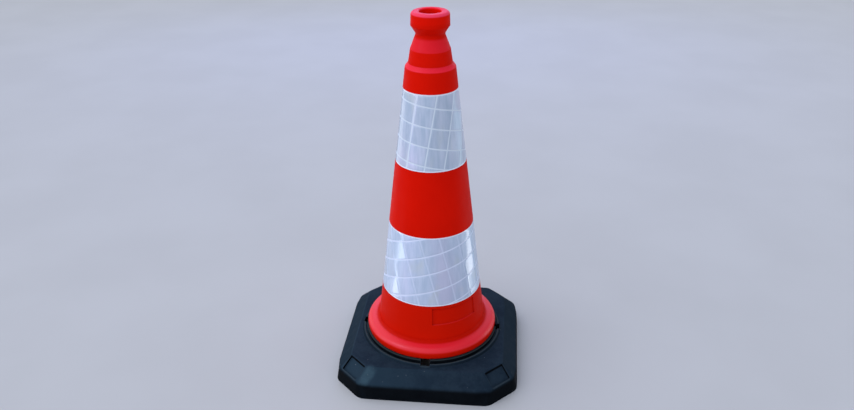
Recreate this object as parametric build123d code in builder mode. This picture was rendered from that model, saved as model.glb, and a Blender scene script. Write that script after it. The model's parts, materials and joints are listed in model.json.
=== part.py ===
from build123d import *
import math
import os

os.makedirs("parts", exist_ok=True)

# A weighted traffic cone, in millimetres.
# The origin is on the ground under the cone's axis. +Z is up, and the base's sides run along X and Y.

# Overall
cone_height = 754.5

# Base: a square block with its corners cut across, a low wall and a bevelled top
# Beside each corner the bevel has a narrow web, cut deepest at the top of the wall
base_width = 382.6
base_corner_cut = 58.1
base_foot_round = 28.0
base_wall_round = 18.0
base_wall_height = 32.0
base_wall_draft = 2.8
base_wall_soften = 12.0
bevel_run = 29.5
web_width = 27.0
web_cut = 7.0
web_fade = 1.0
web_round = 40.0
plateau_height = 58.5
plateau_round = 13.0
plateau_soften = 6.0

# Base: the ring that carries the cone, with a moat and a lip round it
ring_height = 10.0
ring_show = 1.0
ring_soften = 0.8
moat_width = 3.6
moat_depth = 2.5
lip_width = 4.0
lip_height = 4.5
lip_flank_run = 2.5
lip_soften = 1.2
deck_thickness = 17.5

# Base: the square sunk into each corner's slope
pocket_width = 49.0
pocket_length = 33.5
pocket_depth = 6.2
pocket_round = 2.0
pocket_margin = 1.5

# Bayonet: lugs on tongues under the cone's rim, notches and stop ribs in the base
lug_count = 4
lug_width = 17.0
lug_length = 14.0
lug_thickness = 10.0
lug_turn = 30.0
tongue_margin = 9.0
tongue_inset = 8.6
tongue_wall = 4.0
notch_side_clearance = 1.0
notch_end_clearance = 0.7
stop_rib_thickness = 7.0
stop_rib_root = 6.0

# Running clearances between the cone and the base
socket_clearance = 0.5
seat_clearance = 0.3
lug_clearance = 0.4

# Shell: wall and foot
shell_wall = 3.8
foot_radius = 113.8
foot_round = 6.0
rim_width = 27.1
rim_tuck = 2.5
rim_side_height = 20.5
rim_top_rise = 6.5
rim_bottom_round = 4.5
rim_shoulder_round = 12.0

# Shell: head, measured down from the top
hole_radius = 21.0
hole_round = 2.5
hole_lip_depth = 14.0
hole_lip_wall = 3.2
collar_top_radius = 36.2
collar_low_radius = 37.1
collar_height = 25.7
collar_top_round = 6.5
collar_low_round = 1.5
neck_radius = 27.3
neck_drop = 40.5
neck_round = 7.0
flare_radius = 38.3
flare_drop = 69.5
flare_round = 6.0
throat_radius = 42.4
throat_drop = 95.5
throat_round = 1.5
step_radius = 48.6
step_drop = 103.0
step_round = 4.0

# Shell: the sunk marking panel under the lower sleeve, turned from the -Y side towards +X
panel_start_angle = 6.0
panel_sweep_angle = 55.0
panel_sleeve_gap = 5.5
panel_height = 37.5
panel_depth = 2.0
panel_edge_slope = 1.6

# Sleeves: a white backing with a clear prismatic film over it
sleeve_height = 150.0
foot_to_lower_sleeve = 80.5
step_to_upper_sleeve = 40.0
backing_thickness = 0.6
film_thickness = 0.5
layer_gap = 0.3

# Heights worked out from the base up and from the top down
ring_top = plateau_height + ring_height
rim_bottom = ring_top + seat_clearance
tongue_root = rim_bottom + rim_side_height / 2
rim_shoulder = rim_bottom + rim_side_height
foot_height = rim_shoulder + rim_top_rise
deck_bottom = plateau_height - deck_thickness
lug_top = deck_bottom - seat_clearance
tongue_bottom = lug_top - lug_thickness
collar_low = cone_height - collar_height
neck_height = cone_height - neck_drop
flare_height = cone_height - flare_drop
throat_height = cone_height - throat_drop
step_height = cone_height - step_drop
lower_sleeve_bottom = foot_height + foot_to_lower_sleeve
upper_sleeve_bottom = step_height - step_to_upper_sleeve - sleeve_height

# Radii worked out from the cone's foot
rim_radius = foot_radius + rim_width
tongue_radius = rim_radius - tongue_inset
tongue_inner_radius = tongue_radius - tongue_wall
socket_radius = tongue_radius + socket_clearance
ring_radius = rim_radius + ring_show
moat_radius = ring_radius + moat_width
lip_radius = moat_radius + lip_width
lug_tip_radius = tongue_radius + lug_length
cavity_radius = max(lip_radius, lug_tip_radius) + notch_end_clearance
sleeve_recess = backing_thickness + film_thickness + 2 * layer_gap


def cone_radius(height):
    """The radius of the shell's straight tapered outside at a height."""
    taper = (foot_radius - step_radius) / (step_height - foot_height)
    return foot_radius - taper * (height - foot_height)


def recess_outline(bottom):
    """The groove that a sleeve sits in, from the bottom up: radius, height and round of its corners."""
    top = bottom + sleeve_height
    return [
        (cone_radius(bottom), bottom, 0),
        (cone_radius(bottom) - sleeve_recess, bottom, 0),
        (cone_radius(top) - sleeve_recess, top, 0),
        (cone_radius(top), top, 0),
    ]


def layer_outline(bottom, depth, thickness):
    """The section of one sleeve layer whose outside lies a depth below the tapered surface."""
    top = bottom + sleeve_height - layer_gap
    foot = bottom + layer_gap
    return [
        (cone_radius(foot) - depth, foot),
        (cone_radius(foot) - depth - thickness, foot),
        (cone_radius(top) - depth - thickness, top),
        (cone_radius(top) - depth, top),
    ]


def base_outline(inset, cut):
    """The base's outline, drawn in from the ground's, with a web cut on either side of each corner."""
    half_width = base_width / 2 - inset
    half_side = base_width / 2 - base_corner_cut - inset * math.tan(math.radians(22.5))
    web_end = half_side - web_width
    along = half_width - cut / math.sqrt(2)
    across = half_side + cut / math.sqrt(2)
    one_corner = [(half_width, web_end), (along, across), (across, along), (web_end, half_width)]
    return [Vector(*point).rotate(Axis.Z, turn) for turn in (0, 90, 180, 270) for point in one_corner]


# Base levels: the ground, the top of the wall and the plateau, as a height, inset, webs' cut and corner round
plateau_inset = base_wall_draft + bevel_run
base_corner_reach = (base_width - base_corner_cut) / math.sqrt(2)
base_levels = [
    (0.0, 0.0, web_fade, base_foot_round),
    (base_wall_height, base_wall_draft, web_cut, base_wall_round),
    (plateau_height, plateau_inset, web_fade, plateau_round),
]

# Base weight
with BuildPart() as base_weight:
    for level, inset, cut, corner_round in base_levels:
        with BuildSketch(Plane.XY.offset(level)):
            with BuildLine():
                rounds = [web_round, corner_round, corner_round, web_round] * 4
                FilletPolyline(*base_outline(inset, cut), radius=rounds, close=True)
            make_face()
    loft(ruled=True)
    wall_top_edges = base_weight.edges().filter_by_position(Axis.Z, base_wall_height, base_wall_height)
    fillet(wall_top_edges, radius=base_wall_soften)
    plateau_edges = base_weight.edges().filter_by_position(Axis.Z, plateau_height, plateau_height)
    fillet(plateau_edges, radius=plateau_soften)

    # Ring that the cone's rim sits on
    with BuildSketch(Plane.XZ):
        with BuildLine():
            ring_points = [
                (socket_radius, deck_bottom),
                (socket_radius, ring_top),
                (ring_radius, ring_top),
                (ring_radius, deck_bottom),
            ]
            FilletPolyline(*ring_points, radius=[0, ring_soften, ring_soften, 0], close=True)
        make_face()
    revolve(axis=Axis.Z)

    # Lip outside the moat
    with BuildSketch(Plane.XZ):
        with BuildLine():
            lip_top = plateau_height + lip_height
            lip_points = [
                (moat_radius, deck_bottom),
                (moat_radius, lip_top),
                (lip_radius, lip_top),
                (lip_radius + lip_flank_run, plateau_height),
                (lip_radius + lip_flank_run, deck_bottom),
            ]
            FilletPolyline(*lip_points, radius=[0, lip_soften, lip_soften, 0, 0], close=True)
        make_face()
    revolve(axis=Axis.Z)

    # Floor of the moat between the ring and the lip
    with BuildSketch(Plane.XY.offset(deck_bottom)):
        Circle(moat_radius)
        Circle(ring_radius, mode=Mode.SUBTRACT)
    extrude(amount=lip_top - moat_depth - deck_bottom)

    # Socket through the deck, and the open cavity under it
    with BuildSketch():
        Circle(socket_radius)
    extrude(amount=ring_top, mode=Mode.SUBTRACT)
    with BuildSketch():
        Circle(cavity_radius)
    extrude(amount=deck_bottom, mode=Mode.SUBTRACT)

    # Notches where the lugs go in
    with BuildSketch(Plane.XY.offset(deck_bottom)):
        notch_width = lug_width + 2 * notch_side_clearance
        notch_reach = cavity_radius - tongue_radius
        with PolarLocations(tongue_radius + notch_reach / 2, lug_count):
            Rectangle(notch_reach, notch_width)
    extrude(amount=ring_top - deck_bottom, mode=Mode.SUBTRACT)

    # Ribs under the deck that stop a lug under its notch and at its locked place
    with BuildSketch(Plane.XY.offset(tongue_bottom)):
        rib_length = cavity_radius + stop_rib_root - tongue_radius
        rib_middle = tongue_radius + rib_length / 2
        rib_offset = lug_width / 2 + lug_clearance + stop_rib_thickness / 2
        with PolarLocations(0, lug_count):
            with Locations((rib_middle, rib_offset)):
                Rectangle(rib_length, stop_rib_thickness)
        with PolarLocations(0, lug_count, start_angle=-lug_turn):
            with Locations((rib_middle, -rib_offset)):
                Rectangle(rib_length, stop_rib_thickness)
        Circle(socket_radius, mode=Mode.SUBTRACT)
    extrude(amount=deck_bottom - tongue_bottom)

    # Sunk squares in the corner slopes, cut straight down from as far above each slope as they go below it
    slope_drop = plateau_height - base_wall_height
    for corner_angle in (45, 135, 225, 315):
        outward = Vector(1, 0, 0).rotate(Axis.Z, corner_angle)
        down_slope = (outward * bevel_run - Vector(0, 0, slope_drop)).normalized()
        slope_top = outward * (base_corner_reach - plateau_inset) + Vector(0, 0, plateau_height)
        pocket_middle = slope_top + down_slope * (pocket_margin + pocket_length / 2)
        pocket_plane = Plane(
            origin=pocket_middle + Vector(0, 0, pocket_depth),
            x_dir=Vector(0, 1, 0).rotate(Axis.Z, corner_angle),
            z_dir=outward * slope_drop + Vector(0, 0, bevel_run),
        )
        with BuildSketch(pocket_plane):
            RectangleRounded(pocket_width, pocket_length, pocket_round)
        extrude(amount=2 * pocket_depth, dir=(0, 0, -1), mode=Mode.SUBTRACT)
base_weight.part.label = "base_weight"
export_step(base_weight.part, "parts/base_weight.step")

# Cone shell: its section from the rim up the outside and back down the inside, as radius, height and round
shell_outside = [
    (rim_radius - rim_tuck, rim_bottom, rim_bottom_round),
    (rim_radius, rim_shoulder, rim_shoulder_round),
    (foot_radius, foot_height, foot_round),
    *recess_outline(lower_sleeve_bottom),
    *recess_outline(upper_sleeve_bottom),
    (step_radius, step_height, step_round),
    (throat_radius, throat_height, throat_round),
    (flare_radius, flare_height, flare_round),
    (neck_radius, neck_height, neck_round),
    (collar_low_radius, collar_low, collar_low_round),
    (collar_top_radius, cone_height, collar_top_round),
    (hole_radius, cone_height, hole_round),
]
hole_lip_bottom = cone_height - hole_lip_depth
hole_lip_radius = hole_radius + hole_lip_wall
collar_ceiling = cone_height - shell_wall
rim_top_slope = rim_top_rise / (rim_radius - foot_radius)
rim_ceiling = foot_height - shell_wall - rim_top_slope * (tongue_inner_radius - foot_radius)
shell_inside = [
    (hole_radius, hole_lip_bottom, 0),
    (hole_lip_radius, hole_lip_bottom, 0),
    (hole_lip_radius, collar_ceiling, 0),
    (collar_top_radius - shell_wall, collar_ceiling, 0),
    (collar_low_radius - shell_wall, collar_low, 0),
    (neck_radius - shell_wall, neck_height, 0),
    (flare_radius - shell_wall, flare_height, 0),
    (throat_radius - shell_wall, throat_height, 0),
    (step_radius - shell_wall, step_height, 0),
    (foot_radius - shell_wall, foot_height - shell_wall, foot_round),
    (tongue_inner_radius, rim_ceiling, rim_bottom_round),
    (tongue_inner_radius, rim_bottom, 0),
]
shell_section = shell_outside + shell_inside

# Hollow of the sunk marking panel, with all four of its sides sloped
panel_top = lower_sleeve_bottom - panel_sleeve_gap
panel_bottom = panel_top - panel_height
panel_floor_top = panel_top - panel_edge_slope
panel_floor_bottom = panel_bottom + panel_edge_slope
with BuildPart() as panel_hollow:
    with BuildSketch(Plane.XZ.rotated((0, 0, panel_start_angle - 90))):
        with BuildLine():
            Polyline(
                (cone_radius(panel_bottom), panel_bottom),
                (cone_radius(panel_floor_bottom) - panel_depth, panel_floor_bottom),
                (cone_radius(panel_floor_top) - panel_depth, panel_floor_top),
                (cone_radius(panel_top), panel_top),
                (cone_radius(panel_top) + panel_depth, panel_top),
                (cone_radius(panel_bottom) + panel_depth, panel_bottom),
                close=True,
            )
        make_face()
    revolve(axis=Axis.Z, revolution_arc=panel_sweep_angle)
    floor_ends = panel_hollow.edges().filter_by(GeomType.LINE).sort_by(SortBy.LENGTH)[-4:-2]
    chamfer(floor_ends, length=panel_edge_slope)

with BuildPart() as cone_shell:
    with BuildSketch(Plane.XZ):
        with BuildLine():
            section_points = [(radius, height) for radius, height, corner_round in shell_section]
            section_rounds = [corner_round for radius, height, corner_round in shell_section]
            FilletPolyline(*section_points, radius=section_rounds, close=True)
        make_face()
    revolve(axis=Axis.Z)

    # Tongues under the rim, turned away from the notches into their locked place
    with BuildSketch(Plane.XY.offset(tongue_bottom)):
        tongue_width = lug_width + 2 * tongue_margin
        with PolarLocations(tongue_radius / 2, lug_count, start_angle=-lug_turn):
            Rectangle(tongue_radius, tongue_width)
        Circle(tongue_radius, mode=Mode.INTERSECT)
        Circle(tongue_inner_radius, mode=Mode.SUBTRACT)
    extrude(amount=tongue_root - tongue_bottom)

    # Lugs at the feet of the tongues
    with BuildSketch(Plane.XY.offset(tongue_bottom)):
        lug_root_radius = tongue_radius - tongue_wall / 2
        lug_reach = lug_tip_radius - lug_root_radius
        with PolarLocations(lug_root_radius + lug_reach / 2, lug_count, start_angle=-lug_turn):
            Rectangle(lug_reach, lug_width)
    extrude(amount=lug_thickness)

    # Sunk marking panel, left blank
    add(panel_hollow.part, mode=Mode.SUBTRACT)
cone_shell.part.label = "cone_shell"
export_step(cone_shell.part, "parts/cone_shell.step")

# Sleeves: name, bottom, depth of the layer's outside below the tapered surface, thickness
backing_depth = film_thickness + layer_gap
sleeve_layers = [
    ("upper_sleeve_backing", upper_sleeve_bottom, backing_depth, backing_thickness),
    ("upper_sleeve_film", upper_sleeve_bottom, 0, film_thickness),
    ("lower_sleeve_backing", lower_sleeve_bottom, backing_depth, backing_thickness),
    ("lower_sleeve_film", lower_sleeve_bottom, 0, film_thickness),
]
for layer_name, layer_bottom, layer_depth, layer_thickness in sleeve_layers:
    with BuildPart() as sleeve_layer:
        with BuildSketch(Plane.XZ):
            with BuildLine():
                Polyline(*layer_outline(layer_bottom, layer_depth, layer_thickness), close=True)
            make_face()
        revolve(axis=Axis.Z)
    sleeve_layer.part.label = layer_name
    export_step(sleeve_layer.part, f"parts/{layer_name}.step")
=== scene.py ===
"""The looks of a weighted traffic cone, round its CAD frame: metres, +Z up, turns from -Y towards +X."""
import json
import math

import bpy
from mathutils import Matrix, Vector, noise


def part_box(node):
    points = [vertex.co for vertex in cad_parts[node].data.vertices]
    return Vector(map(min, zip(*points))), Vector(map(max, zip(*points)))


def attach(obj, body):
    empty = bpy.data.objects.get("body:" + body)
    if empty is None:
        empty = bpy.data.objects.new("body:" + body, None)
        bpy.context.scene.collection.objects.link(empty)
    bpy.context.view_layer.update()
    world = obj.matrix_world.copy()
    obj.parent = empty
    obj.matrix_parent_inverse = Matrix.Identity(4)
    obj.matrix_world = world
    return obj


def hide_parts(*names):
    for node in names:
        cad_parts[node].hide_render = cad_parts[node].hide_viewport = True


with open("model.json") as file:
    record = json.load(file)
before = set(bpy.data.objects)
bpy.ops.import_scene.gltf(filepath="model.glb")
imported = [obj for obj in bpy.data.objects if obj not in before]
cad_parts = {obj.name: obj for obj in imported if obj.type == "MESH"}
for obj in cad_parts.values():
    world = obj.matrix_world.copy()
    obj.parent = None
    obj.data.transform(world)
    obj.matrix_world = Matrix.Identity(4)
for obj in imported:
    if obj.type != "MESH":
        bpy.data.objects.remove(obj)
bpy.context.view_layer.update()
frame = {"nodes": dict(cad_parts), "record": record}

# Camera, at the photograph's viewing angle
photo_width_px = 854
photo_focal_px = 788.9
camera_turn = math.radians(5.88)
camera_tilt = math.radians(27.21)
camera_roll = math.radians(-0.42)
camera_distance = 1.4399
camera_height = 1.0967
camera_side_step = 0.0085

# Places that the CAD nodes give: the sleeves' films, the cone's top and the rim's radius
lower_low, lower_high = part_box("lower_sleeve_film")
upper_low, upper_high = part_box("upper_sleeve_film")
shell_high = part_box("cone_shell")[1]
cone_top = shell_high.z
rim_radius = shell_high.x

# The tapered wall that the sleeves lie on, and the apex that it unrolls round
wall_taper = (lower_high.x - upper_high.x) / (upper_low.z - lower_low.z)
apex_height = lower_low.z + lower_high.x / wall_taper
taper_cos = 1 / math.hypot(1, wall_taper)
taper_sin = wall_taper * taper_cos

# Sleeves: the film's weld seams are a square grid, straight on the flat sheet that the sleeve was cut from
seam_pitch = 0.0384
seam_width = 0.0026
seam_shoulder = 0.0022
seam_sink = 0.00034
border_width = 0.0026
film_depth = 0.0005
film_ripple = 0.00009
ripples_per_cell = 2.6
lap_length = 0.014
lap_rise = 0.0004
film_step = 0.0011
crisp_edge = math.radians(40)

# Sleeves: the stiff film bends at its seams, so each cell shines like a flatter pane with a lean of its own
cell_flatness = 0.60
cell_lean = math.radians(3.0)

# Sleeves: how each grid lies, as its tilt and one crossing's turn and height
upper_grid = {"tilt": math.radians(-9.3), "turn": math.radians(6.9), "height": upper_low.z + 0.0859}
lower_grid = {"tilt": math.radians(15.1), "turn": math.radians(3.1), "height": lower_low.z + 0.0711}

# Sleeves: each finds its own leans and ripples in the noise at its height times these
lean_spread = 100
ripple_spread = 50

# Shell: painted shade darkens where faces meet within one reach; places sheltered within another take more
# painted shade and no painted sheen or gloss
crease_shade_reach = 0.006
shelter_reach = 0.012

# Shell: the spans of height, radius or Y over which its colours change
splash_height = (0.12, 0.40)
sheen_gloss_height = (0.10, 0.70)
ledge_height = (0.104, 0.110)
head_height = (upper_low.z, upper_high.z)
flare_height = (cone_top - 0.0503, cone_top - 0.0443)
collar_height = (cone_top - 0.0245, cone_top - 0.0145)
hole_radius = (0.0212, 0.0222)
rim_sheen_radius = (rim_radius - 0.0235, rim_radius - 0.0175)
collar_back = (0.0, 0.02)

# Base: it wears pale at its outer edges within a reach; the ring round the rim is paler and the lip has a
# painted highlight
edge_reach = 0.003
ring_radius = (rim_radius + 0.0022, rim_radius + 0.0032)
lip_inner_radius = (rim_radius + 0.0048, rim_radius + 0.0058)
lip_outer_radius = (rim_radius + 0.0083, rim_radius + 0.0093)

# Base: painted light on its left slopes over a stretch of X, and on one corner's web
lit_side = (-0.14, 0.08)
web_light_middle = (-0.1175, -0.1735, 0.0455)
web_light_turn = math.radians(49)
web_light_length = 0.052
web_light_width = 0.027

# A ramp that goes down
falling = (1.0, 0.0)


# Small helpers for shader nodes
class Graph:
    """A node tree, with short calls that add a node, set its inputs and give back its output."""

    def __init__(self, owner):
        owner.use_nodes = True
        self.tree = owner.node_tree
        self.tree.nodes.clear()

    def add(self, kind, settings=None, **inputs):
        node = self.tree.nodes.new(kind)
        for name, value in (settings or {}).items():
            setattr(node, name, value)
        for name, value in inputs.items():
            self.put(node.inputs[name.replace("_", " ")], value)
        return node

    def put(self, socket, value):
        if isinstance(value, bpy.types.NodeSocket):
            self.tree.links.new(value, socket)
        else:
            socket.default_value = value

    def math(self, operation, *values):
        node = self.add("ShaderNodeMath", {"operation": operation})
        for socket, value in zip(node.inputs, values):
            self.put(socket, value)
        return node.outputs[0]

    def product(self, value, *others):
        for other in others:
            value = self.math("MULTIPLY", value, other)
        return value

    def most(self, value, *others):
        for other in others:
            value = self.math("MAXIMUM", value, other)
        return value

    def ramp(self, value, span, to=(0.0, 1.0)):
        """A smooth change between two numbers while a value crosses a span."""
        node = self.add("ShaderNodeMapRange", {"interpolation_type": "SMOOTHSTEP"}, Value=value,
                        From_Min=span[0], From_Max=span[1], To_Min=to[0], To_Max=to[1])
        return node.outputs[0]

    def mix(self, factor, first, second):
        """A blend of two colours. The node's sockets share their names, so they are picked by place."""
        node = self.add("ShaderNodeMix", {"data_type": "RGBA"})
        for index, value in ((0, factor), (6, first), (7, second)):
            self.put(node.inputs[index], value)
        return node.outputs[2]

    def noise(self, place, scale, detail=2.0, roughness=0.5, distortion=0.0):
        node = self.add("ShaderNodeTexNoise", Vector=place, Scale=scale, Detail=detail,
                        Roughness=roughness, Distortion=distortion)
        return node.outputs["Fac"]

    def split(self, vector):
        return self.add("ShaderNodeSeparateXYZ", Vector=vector).outputs

    def place(self, stretch=(1, 1, 1)):
        """The point in the object's own frame, in metres, times a stretch."""
        here = self.add("ShaderNodeTexCoord").outputs["Object"]
        node = self.add("ShaderNodeVectorMath", {"operation": "MULTIPLY"})
        self.put(node.inputs[0], here)
        self.put(node.inputs[1], stretch)
        return node.outputs[0]

    def radius(self):
        """How far a place is from the cone's axis."""
        node = self.add("ShaderNodeVectorMath", {"operation": "LENGTH"}, Vector=self.place((1, 1, 0)))
        return node.outputs["Value"]

    def looks(self):
        """Which way a face looks, along X, Y and Z: 1 straight along an axis, 0 square to it."""
        return self.split(self.add("ShaderNodeNewGeometry").outputs["Normal"])

    def crease(self, reach):
        """How open a place is: 1 on free faces, less where other faces stand within a reach."""
        return self.add("ShaderNodeAmbientOcclusion", {"samples": 8}, Distance=reach).outputs["AO"]

    def edge(self, reach):
        """How near an outer edge is: 0 on broad faces, more where the piece ends within a reach."""
        node = self.add("ShaderNodeAmbientOcclusion", {"samples": 8, "inside": True}, Distance=reach)
        return self.math("SUBTRACT", 1.0, node.outputs["AO"])

    def specks(self, place, scale, share, size, fade=0.01):
        """Scattered spots: 1 in the middle of a share of a loose lattice's cells, with a size in cells."""
        node = self.add("ShaderNodeTexVoronoi", Vector=place, Scale=scale)
        chosen = self.ramp(self.split(node.outputs["Color"])[0], (share, share + fade), falling)
        return self.product(chosen, self.ramp(node.outputs["Distance"], (size / 2, size), falling))

    def strip(self, place, middle, turn, length, width):
        """A straight patch that lies at a turn round its middle: 1 inside, fading at its ends and sides."""
        node = self.add("ShaderNodeMapping", {"vector_type": "TEXTURE"}, Vector=place, Location=middle,
                        Rotation=(0, 0, turn), Scale=(length / 2, width / 2, 1))
        along, across = self.split(node.outputs[0])[:2]
        ends = self.ramp(self.math("ABSOLUTE", along), (0.3, 1.0), falling)
        sides = self.ramp(self.math("ABSOLUTE", across), (0.4, 1.0), falling)
        return self.product(ends, sides)

    def bump(self, height, distance, strength, normal=None):
        node = self.add("ShaderNodeBump", Height=height, Distance=distance, Strength=strength)
        if normal is not None:
            self.put(node.inputs["Normal"], normal)
        return node.outputs["Normal"]

    def finish(self, **inputs):
        """Make a shader with these inputs the material's surface."""
        shader = self.add("ShaderNodeBsdfPrincipled", **inputs)
        self.add("ShaderNodeOutputMaterial", Surface=shader.outputs[0])


def new_material(name):
    material = bpy.data.materials.new(name)
    return material, Graph(material)


def shell_plastic():
    """Orange-red moulded plastic: painted shade where it is sheltered, a painted pink sheen and a gloss on
    its open tops, and a brighter collar and hole painted for light through the plastic.
    """
    dull_red = (0.70, 0.0054, 0.0004, 1)
    clear_red = (0.76, 0.0068, 0.0007, 1)
    splashed_red = (0.56, 0.0100, 0.0005, 1)
    collar_glow_red = (0.80, 0.0062, 0.0006, 1)
    hole_glow_red = (0.96, 0.0080, 0.0015, 1)
    shade_red = (0.36, 0.0012, 0.0003, 1)
    crease_shade_red = (0.22, 0.0010, 0.0004, 1)
    rim_sheen_pink = (0.92, 0.013, 0.038, 1)
    head_sheen_pink = (0.92, 0.0175, 0.041, 1)
    collar_sheen_pink = (0.95, 0.052, 0.112, 1)
    collar_back_sheen_pink = (0.95, 0.012, 0.030, 1)

    material, g = new_material("shell_plastic")
    place = g.place()
    to_back, height = g.split(place)[1:]
    radius = g.radius()
    on_head = g.ramp(height, head_height)
    on_collar = g.ramp(height, collar_height)
    in_hole = g.product(on_collar, g.ramp(radius, hole_radius, falling))
    shelter = g.crease(shelter_reach)

    # The open tops of the rim and the head, and the wall's ledges less, but not the neck, take a painted
    # pink sheen and a gloss
    facing_up = g.ramp(g.looks()[2], (0.15, 0.55))
    on_ledge = g.ramp(height, ledge_height, (0.0, 0.45))
    sheen_places = g.most(g.ramp(radius, rim_sheen_radius), on_head, on_ledge)
    off_neck = g.most(g.ramp(height, flare_height, falling), on_collar)
    open_top = g.product(facing_up, sheen_places, off_neck, g.ramp(shelter, (0.80, 0.97)))

    # The colour: the clean plastic, painted shade in its sheltered places, a painted pink sheen of the sky
    # on its tops and painted shade in its creases
    patches = g.ramp(g.noise(place, scale=9.0, detail=4.0), (0.3, 0.7))
    clean = g.mix(patches, dull_red, clear_red)
    splashed = g.mix(g.ramp(height, splash_height, (0.5, 0.0)), clean, splashed_red)
    # A brighter collar and a brighter hole still: painted light that comes through the thin plastic
    glowing = g.mix(in_hole, g.mix(on_collar, splashed, collar_glow_red), hole_glow_red)
    # Painted shade in sheltered places, less on the collar
    shade = g.product(g.ramp(shelter, (0.6, 0.97), falling), g.ramp(on_collar, (0.0, 1.0), (1.0, 0.1)))
    shaded = g.mix(shade, glowing, shade_red)
    # The painted pink sheen of the sky, stronger on the collar's front than on its back
    collar_sheen = g.mix(g.ramp(to_back, collar_back), collar_sheen_pink, collar_back_sheen_pink)
    sheen_pink = g.mix(on_collar, g.mix(on_head, rim_sheen_pink, head_sheen_pink), collar_sheen)
    sheen_share = g.product(open_top, g.ramp(height, sheen_gloss_height, (0.60, 1.0)))
    sheened = g.mix(sheen_share, shaded, sheen_pink)
    # Painted shade in the creases: darker red where other faces stand near
    crease_shade = g.ramp(g.crease(crease_shade_reach), (0.55, 1.0), (0.35, 0.0))

    # The surface: slight waves, a fine grain, and a gloss on the tops that is less up the cone
    roughness = g.ramp(g.noise(place, scale=45.0, detail=4.0), (0.3, 0.7), (0.38, 0.48))
    waves = g.bump(g.noise(place, scale=60.0), distance=0.0004, strength=0.15)
    grain = g.bump(g.noise(place, scale=1100.0), distance=0.0001, strength=0.2, normal=waves)
    shine = g.product(open_top, g.ramp(height, sheen_gloss_height, (0.55, 0.16)))
    gloss = g.product(shine, g.ramp(on_collar, (0.0, 1.0), (1.0, 0.5)))
    g.finish(Base_Color=g.mix(crease_shade, sheened, crease_shade_red), Roughness=roughness, Specular_IOR_Level=0.02,
             Normal=grain, Coat_Weight=gloss, Coat_Roughness=0.36)
    return material


def base_rubber():
    """Black recycled rubber: blue dust and a painted sky sheen where it faces up, painted light and shade
    on some slopes, a painted highlight on the lip, pale where it is worn, with a coarse grain.
    """
    wall_black = (0.0024, 0.0034, 0.0048, 1)
    wall_grey = (0.0040, 0.0056, 0.0076, 1)
    thin_dust_sheen = (0.0096, 0.0190, 0.0310, 1)
    thick_dust_sheen = (0.0172, 0.0305, 0.0445, 1)
    left_slope_light = (0.0185, 0.0375, 0.0545, 1)
    side_slope_shade = (0.0088, 0.0185, 0.0280, 1)
    pale_ring = (0.032, 0.042, 0.042, 1)
    lip_highlight = (0.042, 0.055, 0.058, 1)
    web_light = (0.040, 0.076, 0.098, 1)
    worn_edge = (0.036, 0.050, 0.060, 1)
    scratch_grey = (0.030, 0.042, 0.052, 1)
    chip_grey = (0.20, 0.22, 0.24, 1)

    material, g = new_material("base_rubber")
    place = g.place()
    radius = g.radius()
    looks = g.looks()
    mottle = g.noise(place, scale=30.0, detail=7.0, roughness=0.75)

    # Dust and a painted sky sheen lie on the tops, with painted light on the left slopes and painted shade
    # on the slopes that look sideways
    facing_up = g.ramp(looks[2], (0.1, 0.75))
    sloped = g.ramp(looks[2], (0.85, 0.97), falling)
    on_left = g.ramp(g.split(place)[0], lit_side, (0.85, 0.0))
    sideways = g.ramp(g.math("ABSOLUTE", looks[0]), (0.52, 0.62), (0.0, 0.85))
    # Dust mixed with a painted bluish sheen of the sky on the faces that look up
    dust_and_sheen = g.mix(g.ramp(mottle, (0.36, 0.64)), thin_dust_sheen, thick_dust_sheen)
    # Painted light: the slopes are lighter towards the left
    lit_left_slopes = g.mix(g.product(sloped, on_left), dust_and_sheen, left_slope_light)
    # Painted shade on the slopes that look sideways
    shaded_side_slopes = g.mix(g.product(sloped, sideways), lit_left_slopes, side_slope_shade)
    walls = g.mix(g.ramp(mottle, (0.3, 0.7)), wall_black, wall_grey)
    dust_sheen_and_walls = g.mix(facing_up, walls, shaded_side_slopes)

    # Paler on the ring round the rim, a painted highlight on the lip, painted light on one corner's web,
    # and wear at the outer edges
    # Paler on the top of the ring round the rim
    on_ring = g.product(facing_up, g.ramp(radius, ring_radius, falling))
    ringed = g.mix(on_ring, dust_sheen_and_walls, pale_ring)
    past_ring = g.ramp(radius, lip_inner_radius)
    # Painted highlight on the lip's top
    on_lip = g.product(facing_up, past_ring, g.ramp(radius, lip_outer_radius, falling))
    lip_lit = g.mix(on_lip, ringed, lip_highlight)
    # Painted light on the front-left corner's web
    on_web = g.strip(place, web_light_middle, web_light_turn, web_light_length, web_light_width)
    web_light_share = g.product(on_web, facing_up, g.ramp(mottle, (0.36, 0.6), (0.55, 1.0)))
    web_lit = g.mix(web_light_share, lip_lit, web_light)
    at_edge = g.product(g.ramp(g.edge(edge_reach), (0.25, 0.6)), g.ramp(mottle, (0.3, 0.6), (0.2, 0.7)))
    edged = g.mix(at_edge, web_lit, worn_edge)

    # Fine scratches along Y, and pale chips of two sizes
    strokes = g.noise(g.place((1, 0.12, 1)), scale=160.0, detail=3.0, roughness=0.7, distortion=0.6)
    scratched = g.mix(g.ramp(strokes, (0.66, 0.74), (0.0, 0.35)), edged, scratch_grey)
    large_chips = g.specks(place, scale=75.0, share=0.03, size=0.075)
    small_chips = g.specks(place, scale=190.0, share=0.02, size=0.14)
    colour = g.mix(g.most(large_chips, small_chips), scratched, chip_grey)

    roughness = g.ramp(g.noise(place, scale=60.0, detail=4.0), (0.3, 0.7), (0.52, 0.66))
    grain = g.bump(g.noise(place, scale=700.0, detail=3.0, roughness=0.6), distance=0.0003, strength=0.4)
    g.finish(Base_Color=colour, Roughness=roughness, Specular_IOR_Level=0.02, Normal=grain)
    return material


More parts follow.
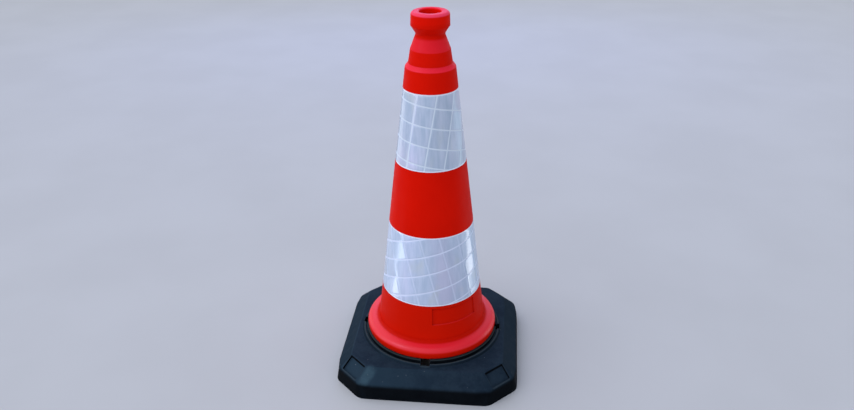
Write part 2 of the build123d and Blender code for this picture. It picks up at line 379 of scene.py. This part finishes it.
def backing_film():
    """The white layer under the film, which shows only at the sleeves' edges."""
    grey_white = (0.68, 0.70, 0.76, 1)
    clean_white = (0.76, 0.78, 0.84, 1)

    material, g = new_material("backing_film")
    fibre = g.noise(g.place(), scale=400.0, detail=3.0)
    g.finish(Base_Color=g.mix(fibre, grey_white, clean_white), Roughness=0.5)
    return material


def prismatic_film(name, panes, seam_colour, upright_show):
    """Silvery clear film over prisms: pale dull weld seams, white borders, streaked and tinted cells."""
    pink_tint = (0.62, 0.57, 0.76, 1)
    cream_tint = (0.58, 0.63, 0.64, 1)
    border_white = (0.80, 0.83, 0.93, 1)
    silver_share = 0.35
    weld_dullness = 0.9

    # The seams' lines from the film's place in the grid, with the wider band that each weld makes dull
    material, g = new_material(name)
    cell = g.split(g.add("ShaderNodeUVMap", {"uv_map": "seams"}).outputs["UV"])
    to_edge = g.add("ShaderNodeAttribute", {"attribute_name": "edge"}).outputs["Fac"]
    seams, welds = [], []
    for along, show in ((cell[0], upright_show), (cell[1], 1.0)):
        to_line = g.product(g.math("PINGPONG", along, 0.5), seam_pitch)
        seams.append(g.ramp(to_line, (seam_width * 0.25, seam_width * 0.75), (show, 0.0)))
        welds.append(g.ramp(to_line, (seam_width * 0.7, seam_width * 1.2), falling))
    seam = g.most(*seams)
    border = g.ramp(to_edge, (border_width * 0.7, border_width * 1.1), falling)

    # The panes' colour, in upright streaks with patches of two tints
    streaks = g.noise(g.place((1, 1, 0.05)), scale=130.0, detail=3.0, roughness=0.6)
    pane = g.mix(g.ramp(streaks, (0.25, 0.75)), *panes)
    pink = g.ramp(g.noise(g.place((1, 1, 0.3)), scale=14.0), (0.5, 0.7), (0.0, 0.5))
    cream = g.ramp(g.noise(g.place((1, 1, 0.5)), scale=31.0), (0.55, 0.75), (0.0, 0.5))
    tinted = g.mix(cream, g.mix(pink, pane, pink_tint), cream_tint)
    colour = g.mix(border, g.mix(seam, tinted, seam_colour), border_white)

    # The surface: silver in the panes, stretched highlights, and a clear gloss off the welds
    silver = g.product(g.math("SUBTRACT", 1.0, g.most(seam, border)), silver_share)
    gloss = g.math("SUBTRACT", 1.0, g.product(g.most(*welds), weld_dullness))
    tangent = g.add("ShaderNodeTangent", {"direction_type": "RADIAL", "axis": "Z"}).outputs[0]
    g.finish(Base_Color=colour, Metallic=silver, Roughness=0.42, Anisotropic=0.9, Anisotropic_Rotation=0.25,
             Tangent=tangent, Normal=g.bump(streaks, distance=0.0004, strength=0.35),
             Coat_Weight=gloss, Coat_Roughness=0.08)
    return material


def floor_paint():
    """Plain pale paint."""
    grey = (0.51, 0.50, 0.48, 1)
    pale_grey = (0.53, 0.52, 0.50, 1)

    material, g = new_material("floor_paint")
    shade = g.ramp(g.noise(g.place(), scale=3.0, detail=3.0), (0.3, 0.7))
    g.finish(Base_Color=g.mix(shade, grey, pale_grey), Roughness=0.8, Specular_IOR_Level=0.0)
    return material


# The sleeves' films
def smoothstep(low, high, value):
    """A smooth rise from 0 at a low value to 1 at a high one."""
    t = min(1.0, max(0.0, (value - low) / (high - low)))
    return t * t * (3 - 2 * t)


def unrolled(turn, height):
    """A point of the tapered wall on the flat sheet: the wall unrolls to a sector round its apex."""
    slant = (apex_height - height) / taper_cos
    swing = turn * taper_sin
    return Vector((slant * math.sin(swing), -slant * math.cos(swing)))


def rolled_turn(flat):
    """The turn at which a point of the flat sheet lies on the wall."""
    return math.atan2(flat.x, -flat.y) / taper_sin


def on_wall(turn, height, depth):
    """The place at a depth below the tapered wall."""
    radius = (apex_height - height) * wall_taper - depth
    return radius * math.sin(turn), -radius * math.cos(turn), height


def grid_cell(turn, height, grid):
    """A wall point's place in a seam grid, in cells, the middle of its cell and that middle's turn."""
    origin = unrolled(grid["turn"], grid["height"])
    lie = Matrix.Rotation(grid["tilt"], 2)
    cell = lie.transposed() @ (unrolled(turn, height) - origin) / seam_pitch
    middle = Vector((math.floor(cell.x) + 0.5, math.floor(cell.y) + 0.5))
    return cell, middle, rolled_turn(lie @ middle * seam_pitch + origin)


def film_point(turn, height, bottom, top, grid):
    """A point of a film's outside: its depth, grid place, way to the edge and the turn of its shine."""
    cell, middle, middle_turn = grid_cell(turn, height, grid)
    to_seam = seam_pitch * min(abs(cell.x - round(cell.x)), abs(cell.y - round(cell.y)))
    to_edge = min(height - bottom, top - height)
    welded = max(
        1 - smoothstep(seam_width / 2, seam_width / 2 + seam_shoulder, to_seam),
        1 - smoothstep(border_width, border_width + seam_shoulder, to_edge),
    )
    lean = cell_lean * (2 * noise.cell_vector(Vector((*middle, bottom * lean_spread))).x - 1)
    ripple_place = (cell.x * ripples_per_cell, cell.y * ripples_per_cell, bottom * ripple_spread)
    ripple = 1 + noise.noise(Vector(ripple_place))
    depth = seam_sink * welded + film_ripple * (1 - welded) * ripple
    shine = (1 - welded) * (cell_flatness * (middle_turn - turn) + lean)
    return depth, cell, to_edge, shine


def film_faces(columns, rows):
    """A film's faces, as the numbers of their points: the outside, then the inside, rims and ends."""
    stride = rows + 1
    inner_start = (columns + 1) * stride
    outside, hidden = [], []
    for column in range(columns):
        foot = column * stride
        head = foot + rows
        inner = inner_start + 2 * column
        outside += [(at, at + stride, at + stride + 1, at + 1) for at in range(foot, head)]
        hidden.append((inner, inner + 1, inner + 3, inner + 2))
        hidden.append((foot, inner, inner + 2, foot + stride))
        hidden.append((head, head + stride, inner + 3, inner + 1))
    last = columns * stride
    inner_last = inner_start + 2 * columns
    hidden.append((*range(stride), inner_start + 1, inner_start))
    hidden.append((*reversed(range(last, last + stride)), inner_last, inner_last + 1))
    return outside, hidden


def film_sheet(name, low, high, grid):
    """One sleeve's film: a closed sheet round the wall, sunk along its weld seams, lapped at the back."""
    bottom, top = low.z, high.z
    middle_radius = (apex_height - (bottom + top) / 2) * wall_taper
    lap_turn = lap_length / middle_radius
    sheet_turn = 2 * math.pi + lap_turn
    columns = round(sheet_turn * middle_radius / film_step)
    rows = round((top - bottom) / film_step)

    # The outside's points, column by column, and two points of the inside for each column
    outer_points, inner_points = [], []
    cells, edges, shines = [], [], []
    for column in range(columns + 1):
        turn = sheet_turn * column / columns - math.pi
        lap = lap_rise * smoothstep(math.pi - lap_turn, math.pi, turn)
        for row in range(rows + 1):
            height = bottom + (top - bottom) * row / rows
            depth, cell, to_edge, shine = film_point(turn, height, bottom, top, grid)
            outer_points.append(on_wall(turn, height, depth - lap))
            cells.append(cell)
            edges.append(to_edge)
            shines.append(shine)
        for height in (bottom, top):
            inner_points.append(on_wall(turn, height, film_depth - lap))
    outside, hidden = film_faces(columns, rows)

    mesh = bpy.data.meshes.new(name)
    mesh.from_pydata(outer_points + inner_points, [], outside + hidden)
    mesh.shade_smooth()
    mesh.set_sharp_from_angle(angle=crisp_edge)
    edge_values = mesh.attributes.new("edge", "FLOAT", "POINT")
    edge_values.data.foreach_set("value", edges + [0.0] * len(inner_points))

    # The outside's corners carry their grid place, and their normals turn so that the cells shine flat
    seam_map = mesh.uv_layers.new(name="seams")
    normals = [Vector(corner.vector) for corner in mesh.corner_normals]
    outside_corners = sum(len(face) for face in outside)
    for corner in mesh.loops[:outside_corners]:
        at = corner.vertex_index
        seam_map.data[corner.index].uv = cells[at]
        normals[corner.index].rotate(Matrix.Rotation(shines[at], 3, "Z"))
    mesh.normals_split_custom_set(normals)
    piece = bpy.data.objects.new(name, mesh)
    bpy.context.scene.collection.objects.link(piece)
    return piece


# The CAD nodes' own finishes
upper_film = prismatic_film(
    "upper_film",
    panes=((0.41, 0.51, 0.64, 1), (0.55, 0.62, 0.75, 1)),
    seam_colour=(0.66, 0.74, 0.82, 1),
    upright_show=1.0,
)
lower_film = prismatic_film(
    "lower_film",
    panes=((0.46, 0.57, 0.73, 1), (0.58, 0.67, 0.83, 1)),
    seam_colour=(0.72, 0.78, 0.94, 1),
    upright_show=0.45,
)
materials = {
    "base": base_rubber(),
    "shell": shell_plastic(),
    "backing": backing_film(),
    "film": lower_film,
}
for subpart in frame["record"]["subparts"]:
    node = frame["nodes"][subpart["node"]]
    node.data.materials.clear()
    node.data.materials.append(materials[subpart["material_slot"]])

# The seamed films in place of the plain ones
for name, low, high, grid, finish in (
    ("upper_sleeve_film", upper_low, upper_high, upper_grid, upper_film),
    ("lower_sleeve_film", lower_low, lower_high, lower_grid, lower_film),
):
    film = film_sheet(name + "_seamed", low, high, grid)
    film.data.materials.append(finish)
    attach(film, "cone")
    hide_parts(name)

# Floor
floor_mesh = bpy.data.meshes.new("floor")
floor_half = 8.0
floor_corners = [(-floor_half, -floor_half, 0), (floor_half, -floor_half, 0),
                 (floor_half, floor_half, 0), (-floor_half, floor_half, 0)]
floor_mesh.from_pydata(floor_corners, [], [(0, 1, 2, 3)])
floor = bpy.data.objects.new("floor", floor_mesh)
floor.data.materials.append(floor_paint())
bpy.context.scene.collection.objects.link(floor)


# Light
def softbox(name, size, power, turn_deg, distance, height, aim_height, colour, glint_only=False):
    """A soft lamp at a turn and distance from the cone's axis, aimed at a height on that axis."""
    lamp = bpy.data.lights.new(name, "AREA")
    lamp.shape = "RECTANGLE"
    lamp.size, lamp.size_y = size
    lamp.energy = power
    lamp.color = colour
    turn = math.radians(turn_deg)
    holder = bpy.data.objects.new(name, lamp)
    holder.location = (distance * math.sin(turn), -distance * math.cos(turn), height)
    aim = Vector((0, 0, aim_height)) - holder.location
    holder.rotation_euler = aim.to_track_quat("-Z", "Y").to_euler()
    holder.visible_camera = False
    holder.visible_diffuse = not glint_only
    bpy.context.scene.collection.objects.link(holder)


# Two banks add to the sky's light
softbox("left_bank", size=(1.6, 2.0), power=3.0, turn_deg=-62, distance=2.7, height=1.7,
        aim_height=0.35, colour=(1.0, 0.99, 0.97))
softbox("back_bank", size=(2.6, 0.9), power=16.0, turn_deg=186, distance=3.0, height=1.5,
        aim_height=0.3, colour=(0.28, 0.37, 1.0))

# The other lamps only make highlights: strips on the lower sleeve, a glint on the rim, panels at its sides
softbox("left_strip", size=(0.09, 0.40), power=0.25, turn_deg=-76, distance=0.45, height=0.12,
        aim_height=0.12, colour=(0.95, 1.0, 1.0), glint_only=True)
softbox("left_glint", size=(0.3, 0.3), power=9.0, turn_deg=-63, distance=1.45, height=1.6,
        aim_height=0.1, colour=(1.0, 0.66, 1.0), glint_only=True)
softbox("left_panel", size=(0.35, 0.35), power=0.35, turn_deg=-116, distance=0.7, height=0.30,
        aim_height=0.30, colour=(1.0, 0.97, 1.0), glint_only=True)
softbox("right_strip", size=(0.09, 0.40), power=0.25, turn_deg=102, distance=0.45, height=0.12,
        aim_height=0.12, colour=(1.0, 0.98, 0.93), glint_only=True)
softbox("right_panel", size=(0.35, 0.35), power=0.24, turn_deg=118, distance=0.7, height=0.30,
        aim_height=0.30, colour=(0.55, 0.95, 1.0), glint_only=True)

# Sky: bright on the left, dim on the right, plain at the horizon
sky_left = (1.72, 1.86, 2.24, 1)
sky_right = (0.10, 0.14, 0.24, 1)
sky_horizon = (0.88, 0.92, 1.02, 1)
world = bpy.data.worlds.new("sky")
bpy.context.scene.world = world
sky = Graph(world)
sky_way = sky.split(sky.add("ShaderNodeTexCoord").outputs["Generated"])
sky_top = sky.mix(sky.ramp(sky_way[0], (-0.9, 0.9)), sky_left, sky_right)
sky_colour = sky.mix(sky.ramp(sky_way[2], (0.0, 0.9)), sky_horizon, sky_top)
sky_shader = sky.add("ShaderNodeBackground", Color=sky_colour, Strength=1.0)
sky.add("ShaderNodeOutputWorld", Surface=sky_shader.outputs[0])

# Camera
camera_data = bpy.data.cameras.new("camera")
camera_data.sensor_fit = "HORIZONTAL"
camera_data.lens = camera_data.sensor_width * photo_focal_px / photo_width_px
camera = bpy.data.objects.new("camera", camera_data)
turn_cos, turn_sin = math.cos(camera_turn), math.sin(camera_turn)
camera.location = (
    camera_distance * turn_sin - camera_side_step * turn_cos,
    -camera_distance * turn_cos - camera_side_step * turn_sin,
    camera_height,
)
aim = Matrix.Rotation(camera_turn, 3, "Z") @ Matrix.Rotation(math.pi / 2 - camera_tilt, 3, "X")
camera.rotation_euler = (aim @ Matrix.Rotation(camera_roll, 3, "Z")).to_euler()
bpy.context.scene.collection.objects.link(camera)
bpy.context.scene.camera = camera
bpy.context.scene.view_settings.view_transform = "Standard"
